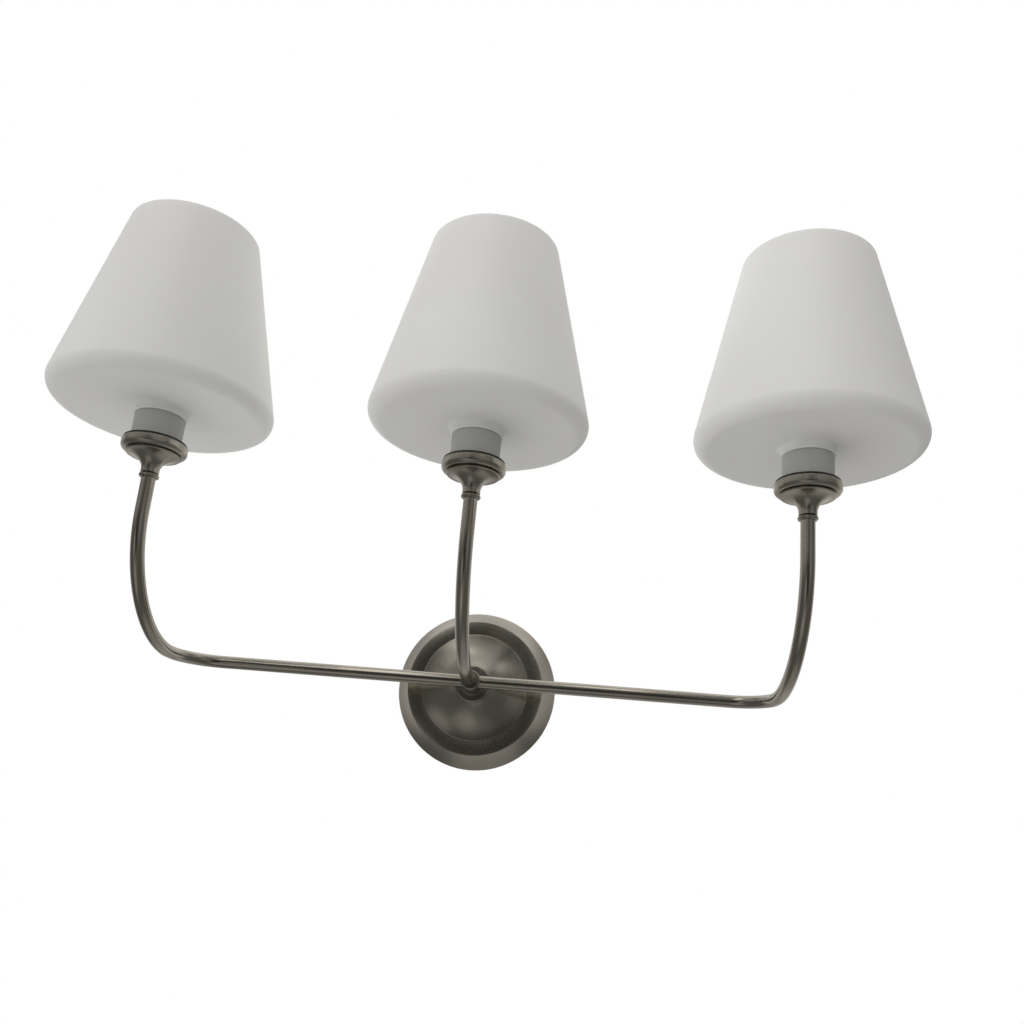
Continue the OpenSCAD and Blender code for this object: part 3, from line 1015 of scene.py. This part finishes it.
@dataclass
class Cup:
    """The bell, rim, bead and gasket under a light. Heights count from the bell's foot, in mm."""

    tube_radius: float = 4.75
    bell_radius: float = 18.45
    bell_height: float = 13.8
    joint: float = 0.8
    rim_height: float = 7.0
    rim_radius: float = 21.85
    wall: float = 1.2
    bead_radius: float = 6.75
    bead_height: float = 3.5
    gasket_bore: float = 17.05
    nipple_hole: float = 3.95
    inner_foot: float = 8.4

    def bell(self, side: Side, foot: Vector) -> bpy.types.Object:
        """Builds the trumpet-shaped bell.

        Args:
            side: The light.
            foot: The axis at the bell's foot.

        Returns:
            The bell.
        """
        neck = self.tube_radius + 1.3
        flare = self.bell_radius - neck
        rise = self.bell_height - 3.2
        floor = self.bell_height + self.joint
        outline = [(self.tube_radius + 0.05, 0.0), (neck, 0.0)]
        for i in range(25):
            a = math.radians(86.8 * i / 24)
            outline.append((self.bell_radius - flare * math.cos(a), 2.2 + rise * math.sin(a)))
        outline += [(self.bell_radius, self.bell_height - 0.4),
                    (self.bell_radius - 0.4, self.bell_height),
                    (self.bell_radius - 1.6, self.bell_height),
                    (self.bell_radius - 1.6, floor - 0.1), (self.bell_radius - 3, floor - 0.1)]
        for i in range(24, 4, -1):
            a = math.radians(86.8 * i / 24)
            outline.append((self.bell_radius - self.wall - flare * math.cos(a),
                            2.2 + self.wall + rise * math.sin(a)))
        outline += [(self.tube_radius + 0.05, self.inner_foot)]
        return turned("bell_cup_" + side.value, outline, foot, Axis.UPRIGHT, 112)

    def rim(self, side: Side, foot: Vector) -> bpy.types.Object:
        """Builds the rim that stands out over the bell.

        Args:
            side: The light.
            foot: The axis at the bell's foot.

        Returns:
            The rim.
        """
        floor = self.bell_height + self.joint
        top = floor + self.rim_height
        r = self.rim_radius
        outline = [(self.nipple_hole, floor), (r - 3.2, floor)]
        outline += arc((r - 3.2, floor + 3.2), 3.2, -75, 0, 12)
        outline += arc((r - 1.0, top - 1.0), 1.0, 0, 90, 8)
        outline += [(r - 2.0, top), (r - 2.0, floor + 3.2), (r - 3.8, floor + self.wall),
                    (self.nipple_hole, floor + self.wall)]
        return turned("rim_ring_" + side.value, soften(outline, 0.15), foot, Axis.UPRIGHT, 128)

    def bead(self, side: Side, foot: Vector) -> bpy.types.Object:
        """Builds the beaded collar on the tube.

        Args:
            side: The light.
            foot: The axis at the bell's foot.

        Returns:
            The collar.
        """
        r, t = self.bead_radius, self.tube_radius + 0.05
        outline = [(t, 0.0), (r - 1.5, 0.0)]
        outline += bow((r - 1.2, 0.3), (r - 1.2, self.bead_height - 0.7), -1.15, 14)
        outline += [(r - 1.6, self.bead_height - 0.12), (t, self.bead_height - 0.12)]
        base = foot - Vector((0, 0, (self.bead_height + 0.01) * MM))
        return turned("bead_ring_" + side.value, outline, base, Axis.UPRIGHT, 80)

    def gasket(self, side: Side) -> bpy.types.Object:
        """Builds the rubber ring on the rim.

        Args:
            side: The light.

        Returns:
            The ring.
        """
        foot, outer, thick = stand("gasket_", side)
        bore = self.gasket_bore
        outline = soften([(bore, 0.0), (outer, 0.0), (outer, thick), (bore, thick)], 0.5)
        return turned("gasket_ring_" + side.value, outline, foot, Axis.UPRIGHT, 112)

    def build(self, shop: Workshop, side: Side) -> None:
        """Builds and dresses the cup of one light.

        Args:
            shop: The workshop that fits the pieces.
            side: The light.
        """
        foot = stand("bell_", side)[0]
        for piece, node in ((self.bell(side, foot), "bell_"), (self.rim(side, foot), "cup_rim_"),
                            (self.bead(side, foot), "bead_collar_")):
            shop.fit(piece, NICKEL_CUP, "root", "brushed_nickel", node + side.value)
        shop.fit(self.gasket(side), RUBBER, "root", "black_rubber", "gasket_" + side.value)
        for part in ("nipple_", "cup_locknut_"):
            shop.keep(part + side.value, ZINC)


@dataclass
class Socket:
    """The lamp socket with its sleeve and shade ring. Sizes are in millimetres."""

    sleeve_wall: float = 1.1
    body_radius: float = 15.0
    body_bore: float = 13.92
    wire_bore: float = 12.9
    floor_thickness: float = 4.0
    thread_depth: float = 0.6
    thread_pitch: float = 3.0
    shell_radius: float = 13.85
    shell_wall: float = 0.45
    shell_thread: float = 0.55
    shell_pitch: float = 3.62
    shell_foot: float = 12.25
    shell_seat: float = 3.8
    rivet_hole: float = 1.6
    ring_flange: float = 19.95
    ring_body: float = 17.95
    ring_bore: float = 16.4
    ring_ribs: int = 24

    def sleeve(self, side: Side) -> bpy.types.Object:
        """Builds the white sleeve.

        Args:
            side: The light.

        Returns:
            The sleeve.
        """
        foot, r, tall = stand("sleeve_", side)
        bore = r - self.sleeve_wall
        outline = soften([(bore, 0), (r, 0), (r, tall), (bore, tall)], 0.3)
        return turned("sleeve_tube_" + side.value, outline, foot, Axis.UPRIGHT, 112)

    def body(self, side: Side) -> bpy.types.Object:
        """Builds the socket body with the thread for the shade ring.

        Args:
            side: The light.

        Returns:
            The body.
        """
        foot, _, tall = stand("socket_body_", side)
        floor = (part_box("screw_shell_" + side.value)[0].z - foot.z) / MM
        start = (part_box("sleeve_" + side.value)[1].z - foot.z) / MM + 2.5
        end = tall - 1.4
        faces, steps, r, bore = 96, 56, self.body_radius, self.body_bore
        turns = [2 * math.pi * k / faces for k in range(faces)]

        def plain(radius: float, height: float) -> List[Vector]:
            """One round ring."""
            return [round_point(foot, Axis.UPRIGHT, radius, height, a) for a in turns]

        def cut(height: float) -> List[Vector]:
            """Makes one ring that follows the thread's groove.

            Args:
                height: Height of the ring in millimetres.

            Returns:
                Its points.
            """
            fade = max(0.0, min(1.0, (height - start) / 1.5, (end - height) / 1.5))
            row = []
            for a in turns:
                wave = max(0.0, math.sin(2 * math.pi * height / self.thread_pitch - a))
                depth = self.thread_depth * fade * min(1.0, 1.6 * wave)
                row.append(round_point(foot, Axis.UPRIGHT, r - depth, height, a))
            return row

        low_edge = ((self.wire_bore, 0), (r - 0.4, 0), (r, 0.4), (r, start))
        top_edge = ((r, tall - 1.0), (r, tall - 0.7), (r - 0.25, tall - 0.15), (r - 0.7, tall),
                    (bore + 0.03, tall), (bore, tall - 0.4))
        under = floor - self.floor_thickness
        inside = ((bore, floor), (0.02, floor), (0.02, under), (self.wire_bore, under))
        rows = [plain(*p) for p in low_edge]
        rows += [cut(start + (end - start) * i / steps) for i in range(steps + 1)]
        rows += [plain(*p) for p in top_edge + inside]
        lengths = [i * 0.0006 for i in range(len(rows) + 1)]
        return grid_mesh("socket_shell_body_" + side.value, rows, lengths, 50)

    def shell(self, side: Side) -> bpy.types.Object:
        """Builds the rolled screw shell with its drawn-in foot and floor.

        Args:
            side: The light.

        Returns:
            The shell.
        """
        base, _, tall = stand("screw_shell_", side)
        wall, foot, seat, r = self.shell_wall, self.shell_foot, self.shell_seat, self.shell_radius
        tube = threaded("screw_shell_rolled_" + side.value, base + Vector((0, 0, seat * MM)),
                        Axis.UPRIGHT, r, self.shell_thread, self.shell_pitch, 0.3, tall - seat,
                        wall, inward=True, lead_in=2.0)
        outline = [(self.rivet_hole, 0), (foot, 0), (foot, seat - wall), (r, seat - wall / 2),
                   (r, seat + 0.15), (r - wall, seat + 0.15), (foot - wall, seat - 0.05),
                   (foot - wall, wall), (self.rivet_hole, wall)]
        cup = turned("screw_shell_foot_" + side.value, soften(outline, 0.15), base, Axis.UPRIGHT, 96)
        return joined(tube, cup)

    def ring(self, side: Side) -> bpy.types.Object:
        """Builds the ribbed ring that clamps the glass.

        Args:
            side: The light.

        Returns:
            The ring.
        """
        foot, _, tall = stand("shade_ring_", side)
        bore, body, flange = self.ring_bore, self.ring_body, self.ring_flange
        sections = [(bore, 0.3, 0), (bore + 0.3, 0, 0), (flange - 0.4, 0, 0), (flange, 0.4, 0),
                    (flange, 1.6, 0), (flange - 0.4, 2.0, 0), (body + 0.9, 2.0, 0),
                    (body, 2.3, 0.75), (body, tall - 1.2, 0.75), (body, tall - 0.5, 0.2),
                    (body - 0.3, tall, 0), (bore + 0.35, tall, 0), (bore, tall - 0.35, 0)]
        return ribbed("shade_ring_ribbed_" + side.value, foot, sections, self.ring_ribs, 192, 0.5)

    def build(self, shop: Workshop, side: Side) -> None:
        """Builds and dresses the socket of one light.

        Args:
            shop: The workshop that fits the pieces.
            side: The light.
        """
        name = side.value
        shop.fit(self.sleeve(side), SLEEVE_PAINTED_SHADE, "root", "white_sleeve", "sleeve_" + name)
        shop.fit(self.body(side), PORCELAIN, "root", "porcelain", "socket_body_" + name)
        shop.fit(self.shell(side), SHELL, "root", "shell_metal", "screw_shell_" + name)
        shop.fit(self.ring(side), PHENOLIC, "ring_" + name, "white_phenolic", "shade_ring_" + name)
        shop.keep("centre_contact_" + name, BRASS)
        shop.keep("terminal_screws_" + name, BRASS)


@dataclass
class Shade:
    """The tapered opal glass of a light. Sizes are in millimetres."""

    glass: float = 3.0
    corner: float = 9.0
    slope: float = 4.0
    neck_height: float = 6.0
    neck_radius: float = 17.95
    hole_radius: float = 16.0
    fillet: float = 3.0

    def build(self, shop: Workshop, side: Side) -> None:
        """Builds and dresses the shade of one light.

        Args:
            shop: The workshop that fits the pieces.
            side: The light.
        """
        node = "shade_" + side.value
        low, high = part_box(node)
        axis = centre_of(node)
        radius = (high.x - low.x) / 2 / MM
        tan = math.tan(math.radians(self.slope))
        corner = (radius - self.corner, self.corner)
        start = (corner[0] - self.corner * math.sin(math.radians(self.slope)),
                 corner[1] - self.corner * math.cos(math.radians(self.slope)))

        def under(r: float) -> float:
            """Height of the underside at a radius."""
            return start[1] + (start[0] - r) * tan

        neck_top = under(self.neck_radius)
        foot = neck_top - self.neck_height
        height = (high.z - low.z) / MM + min(foot, 0.0)
        base_z = low.z - min(foot, 0.0) * MM
        top = (45.75 - self.glass / 2, height - self.glass / 2)
        side_v = Vector((top[0] - corner[0], top[1] - corner[1]))
        lean = math.degrees(math.atan2(side_v.y, side_v.x)
                            - math.acos((self.corner - self.glass / 2) / side_v.length))
        fr = self.neck_radius + self.fillet
        pad = neck_top + self.glass / math.cos(math.radians(self.slope))
        outline = [(self.hole_radius, foot + 0.3), (self.hole_radius + 0.3, foot)]
        outline += arc((self.neck_radius - 0.9, foot + 0.9), 0.9, -90, 0, 6)
        outline += arc((fr, under(fr) - self.fillet / math.cos(math.radians(self.slope))),
                       self.fillet, 180, 90 - self.slope, 12)
        outline += [(fr + (start[0] - fr) * t, under(fr + (start[0] - fr) * t))
                    for t in (0.25, 0.5, 0.75)]
        outline += arc(corner, self.corner, -90 - self.slope, lean, 22)
        outline += arc(top, self.glass / 2, lean, lean + 180, 10)
        outline += arc(corner, self.corner - self.glass, lean, -90 - self.slope, 18)
        outline += [(self.neck_radius, pad), (self.hole_radius, pad)]
        piece = turned("glass_shade_" + side.value, outline,
                       Vector((axis.x, axis.y, base_z)), Axis.UPRIGHT, 160)
        shop.fit(piece, OPAL, "shade_" + side.value, "opal_glass", node)


# ---------------------------------------------------------------- what is behind the canopy


@dataclass
class Backing:
    """The crossbar, hickey, stem and connectors behind the cover. Sizes are in millimetres."""

    stem_radius: float = 4.85
    stem_bore: float = 3.4
    stem_thread: float = 0.35
    stem_pitch: float = 0.94
    connector_height: float = 20.0
    connector_radius: float = 6.6
    connector_mouth: float = 4.2
    connector_tip: float = 4.4
    connector_ribs: int = 14

    def stem(self) -> bpy.types.Object:
        """Builds the hollow threaded stem.

        Returns:
            The stem.
        """
        low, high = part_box("stem")
        return threaded("stem_threaded", Vector((0, high.y, 0)), Axis.OUT_OF_WALL,
                        self.stem_radius, self.stem_thread, self.stem_pitch, 0.0,
                        (high.y - low.y) / MM,
                        self.stem_radius - self.stem_bore, faces=48)

    def connector(self, name: str, foot: Vector, upright: bool) -> bpy.types.Object:
        """Builds one twist-on wire connector.

        Args:
            name: Name of the piece.
            foot: Middle of its open end.
            upright: Whether it points up.

        Returns:
            The connector.
        """
        r, tip, tall = self.connector_radius, self.connector_tip, self.connector_height
        mouth = self.connector_mouth
        sections = [(mouth, 0, 0), (r - 0.2, 0, 0), (r, 0.3, 0), (r, 2.2, 0), (r - 0.6, 2.8, 0)]
        for i in range(9):
            t = i / 8
            sections.append((5.5 + (tip - 5.5) * t, 3.0 + (tall - 4.2) * t, 0.42 * (1 - 0.3 * t)))
        sections += [(tip - 0.3, tall - 0.5, 0.1), (tip - 1.0, tall, 0), (0.02, tall, 0),
                     (0.02, 14.0, 0), (3.6, 14.0, 0), (mouth, 10.0, 0)]
        return ribbed(name, foot, sections, self.connector_ribs, 168, upright=upright)

    def build(self, shop: Workshop) -> None:
        """Builds and dresses what the cover hides.

        Args:
            shop: The workshop that fits the pieces.
        """
        shop.fit(self.stem(), ZINC, "root", "zinc_steel", "stem")
        low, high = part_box("wire_connectors")
        middle = centre_of("wire_connectors")
        tall = self.connector_height * MM
        upper = self.connector("connector_upper", Vector((middle.x, middle.y, high.z - tall)), True)
        lower = self.connector("connector_lower", Vector((middle.x, middle.y, low.z + tall)), False)
        shop.fit(upper, CONNECTOR_PALE, "root", "connector_plastic", "wire_connectors")
        shop.fit(lower, CONNECTOR_DARK, "root", "connector_plastic", "wire_connectors")
        for node in ("crossbar", "hickey", "hickey_screw", "stem_locknut"):
            shop.keep(node, ZINC)
        shop.keep("ground_screw", GREEN)


# ---------------------------------------------------------------- studio


@dataclass(frozen=True)
class Lamp:
    """One soft light of the studio."""

    name: str
    place: Tuple[float, float, float]
    aim: Tuple[float, float, float]
    size: Tuple[float, float]
    power: float


@dataclass(frozen=True)
class Patch:
    """A soft patch of the room that the metal mirrors, darker where its power is negative.

    Angles are in degrees. The bearing counts from straight out of the wall, to the right.
    """

    name: str
    bearing: float
    height: float
    spread: float
    fade: float
    power: float

    def toward(self) -> Tuple[float, float, float]:
        """Works out which way the patch lies from the fixture.

        Returns:
            The direction of its middle, one long.
        """
        bearing, height = math.radians(self.bearing), math.radians(self.height)
        level = math.cos(height)
        return level * math.sin(bearing), -level * math.cos(bearing), math.sin(height)


class RoomRecipe:
    """The node tree of the room round the fixture."""

    def __init__(self, world: bpy.types.World) -> None:
        """Clears the tree.

        Args:
            world: The world that is dressed.
        """
        self.tree = world.node_tree
        self.tree.nodes.clear()
        self.out = self.tree.nodes.new("ShaderNodeOutputWorld")
        self.toward = self.tree.nodes.new("ShaderNodeTexCoord").outputs["Generated"]

    def node(self, kind: str, **settings: object) -> bpy.types.Node:
        """Adds a node.

        Args:
            kind: Type name without its prefix.
            **settings: Values set on the node.

        Returns:
            The node.
        """
        made = self.tree.nodes.new("ShaderNode" + kind)
        for key, value in settings.items():
            setattr(made, key, value)
        return made

    def along(self, axis: Sequence[float]) -> bpy.types.NodeSocket:
        """How far the looked-at direction leans along an axis.

        Args:
            axis: The axis, one long.

        Returns:
            1 along the axis, 0 across it, -1 against it.
        """
        made = self.node("VectorMath", operation="DOT_PRODUCT")
        self.tree.links.new(self.toward, made.inputs[0])
        made.inputs[1].default_value = axis
        return made.outputs["Value"]

    def maths(self, operation: str, a: object, b: object) -> bpy.types.NodeSocket:
        """Works out a sum.

        Args:
            operation: Blender's name of the sum.
            a: First value or output.
            b: Second value or output.

        Returns:
            The result.
        """
        made = self.node("Math", operation=operation)
        for socket, value in zip(made.inputs, (a, b)):
            if isinstance(value, bpy.types.NodeSocket):
                self.tree.links.new(value, socket)
            else:
                socket.default_value = value
        return made.outputs[0]

    def slope(self, middle: float, lean: Sequence[float]) -> bpy.types.NodeSocket:
        """A brightness that grows evenly along one direction."""
        return self.maths("ADD", self.along(lean), middle)

    def patches(self, base: float, patches: Sequence[Patch]) -> bpy.types.NodeSocket:
        """A base brightness with soft patches on it.

        Args:
            base: Brightness away from every patch.
            patches: The patches.

        Returns:
            The brightness of the looked-at direction.
        """
        total: object = base
        for patch in patches:
            ramp = self.node("MapRange", interpolation_type="SMOOTHERSTEP", label=patch.name)
            lean = self.along(patch.toward())
            self.tree.links.new(lean, ramp.inputs["Value"])
            edge = math.radians(patch.spread + patch.fade)
            ramp.inputs["From Min"].default_value = math.cos(edge)
            ramp.inputs["From Max"].default_value = math.cos(math.radians(patch.spread))
            ramp.inputs["To Max"].default_value = patch.power
            total = self.maths("ADD", ramp.outputs[0], total)
        return total

    def backdrop(self, strength: object, tint: Colour) -> bpy.types.NodeSocket:
        """Makes a glowing surround.

        Args:
            strength: Its brightness, a value or an output.
            tint: Its colour.

        Returns:
            The surround.
        """
        made = self.node("Background")
        made.inputs["Color"].default_value = (*tint, 1.0)
        if isinstance(strength, bpy.types.NodeSocket):
            self.tree.links.new(strength, made.inputs["Strength"])
        else:
            made.inputs["Strength"].default_value = strength
        return made.outputs[0]

    def mixed(self, factor: bpy.types.NodeSocket, first: bpy.types.NodeSocket,
              second: bpy.types.NodeSocket) -> bpy.types.NodeSocket:
        """Joins two surrounds.

        Args:
            factor: 0 for the first, 1 for the second.
            first: The first surround.
            second: The second surround.

        Returns:
            The joined surround.
        """
        made = self.node("MixShader")
        for socket, value in zip(made.inputs, (factor, first, second)):
            self.tree.links.new(value, socket)
        return made.outputs[0]


@dataclass
class Studio:
    """Camera, floor, room and lights. The camera's angles are in degrees."""

    eye: Tuple[float, float, float] = (0.073, -0.7482, -0.0991)
    pan: float = 3.85
    tilt: float = 15.06
    roll: float = 5.0
    lens: float = 32.415
    shift: Tuple[float, float] = (-0.0030, 0.0584)
    floor_drop: float = 1.3
    floor_half: float = 1.1
    ambient: float = 0.645
    ambient_slope: Tuple[float, float, float] = (-0.29, -0.03, 0.44)
    ambient_tint: Colour = (1.0, 0.993, 0.982)
    gloss_base: float = 0.13
    gloss_tint: Colour = (1.02, 1.0, 0.965)
    patches: Tuple[Patch, ...] = (
        Patch("front_strip", -15, 53, 8, 16, 1.20),
        Patch("edge_gleam", -20, 32, 3, 9, 0.90),
        Patch("ceiling", 0, 90, 15, 35, 0.40),
        Patch("ceiling_behind", 180, 55, 15, 30, 0.45),
        Patch("window_left", -60, 30, 8, 25, 0.25),
        Patch("wall_left", -135, 15, 15, 35, 0.35),
        Patch("wall_right", 135, 10, 15, 35, 0.35),
        Patch("wall_behind", 180, -10, 20, 35, 0.20),
        Patch("fill_right", 35, 10, 5, 25, 0.12),
        Patch("kick_left", -28, -15, 3, 10, 0.40),
        Patch("low_front", 0, -40, 5, 20, 0.10),
        Patch("low_left", -25, -50, 5, 20, 0.20),
        Patch("floor_behind", 160, -60, 10, 30, 0.20),
        Patch("dark_front", -5, -8, 14, 15, -0.09),
    )
    lamps: Tuple[Lamp, ...] = (
        Lamp("wall_bounce", (-0.22, 0.08, 0.16), (-0.22, -1.0, 0.16), (0.7, 0.5), 0.8),
    )

    def camera(self) -> None:
        """Places the camera."""
        data = bpy.data.cameras.new("camera")
        camera = bpy.data.objects.new("camera", data)
        bpy.context.scene.collection.objects.link(camera)
        turns = ((self.pan, "Z"), (90 + self.tilt, "X"), (self.roll, "Z"))
        place = Matrix.Translation(Vector(self.eye))
        for angle, axis in turns:
            place = place @ Matrix.Rotation(math.radians(angle), 4, axis)
        camera.matrix_world = place
        data.sensor_width = 36.0
        data.lens = self.lens
        data.shift_x, data.shift_y = self.shift
        data.clip_start, data.clip_end = 0.01, 50.0
        bpy.context.scene.camera = camera

    def floor(self) -> None:
        """Lays a plain pale floor well below the fixture."""
        bm = bmesh.new()
        bmesh.ops.create_grid(bm, x_segments=8, y_segments=8, size=self.floor_half)
        piece = finish_mesh("floor", bm)
        piece.location = (0, -0.1, -self.floor_drop)
        r = Recipe("floor_paint")
        grain = r.noise(r.place(), 300.0, 2.0)
        r.put(r.shader.inputs["Base Color"], r.blend(grain, (0.72, 0.72, 0.71), (0.76, 0.76, 0.75)))
        r.set(Roughness=0.8)
        piece.data.materials.append(r.material)
        piece.visible_glossy = False

    def world(self) -> None:
        """Sets the room: white behind, soft all round, with brighter patches for the metal."""
        world = bpy.data.worlds.new("surround")
        bpy.context.scene.world = world
        world.use_nodes = True
        world.cycles.sampling_method = "NONE"
        r = RoomRecipe(world)
        soft = r.slope(self.ambient, self.ambient_slope)
        sheen = r.patches(self.gloss_base, self.patches)
        seen = r.node("LightPath")
        body = r.mixed(seen.outputs["Is Glossy Ray"], r.backdrop(soft, self.ambient_tint),
                       r.backdrop(sheen, self.gloss_tint))
        full = r.mixed(seen.outputs["Is Camera Ray"], body, r.backdrop(1.0, (1.0, 1.0, 1.0)))
        r.tree.links.new(full, r.out.inputs[0])

    def light(self, lamp: Lamp) -> None:
        """Hangs one soft light, which shows neither to the camera nor in the metal.

        Args:
            lamp: The light.
        """
        data = bpy.data.lights.new(lamp.name, "AREA")
        data.shape = "RECTANGLE"
        data.size, data.size_y = lamp.size
        data.energy = lamp.power
        piece = bpy.data.objects.new(lamp.name, data)
        bpy.context.scene.collection.objects.link(piece)
        piece.location = lamp.place
        piece.rotation_euler = (Vector(lamp.aim) - Vector(lamp.place)).to_track_quat(
            "-Z", "Y").to_euler()
        piece.visible_camera = False
        piece.visible_glossy = False

    def build(self) -> None:
        """Sets up the studio."""
        self.camera()
        self.floor()
        self.world()
        for lamp in self.lamps:
            self.light(lamp)
        bpy.context.scene.view_settings.view_transform = "Standard"


def main() -> None:
    """Builds the studio, then the fixture from the wall to the glass, and logs how many pieces it
    has.
    """
    Studio().build()
    shop = Workshop()
    Canopy().build(shop)
    Hub().build(shop)
    Arms().build(shop)
    Backing().build(shop)
    for side in Side:
        Cup().build(shop, side)
        Socket().build(shop, side)
        Shade().build(shop, side)
    log.info("%d pieces in all", shop.count)


if __name__ == "__main__":
    main()
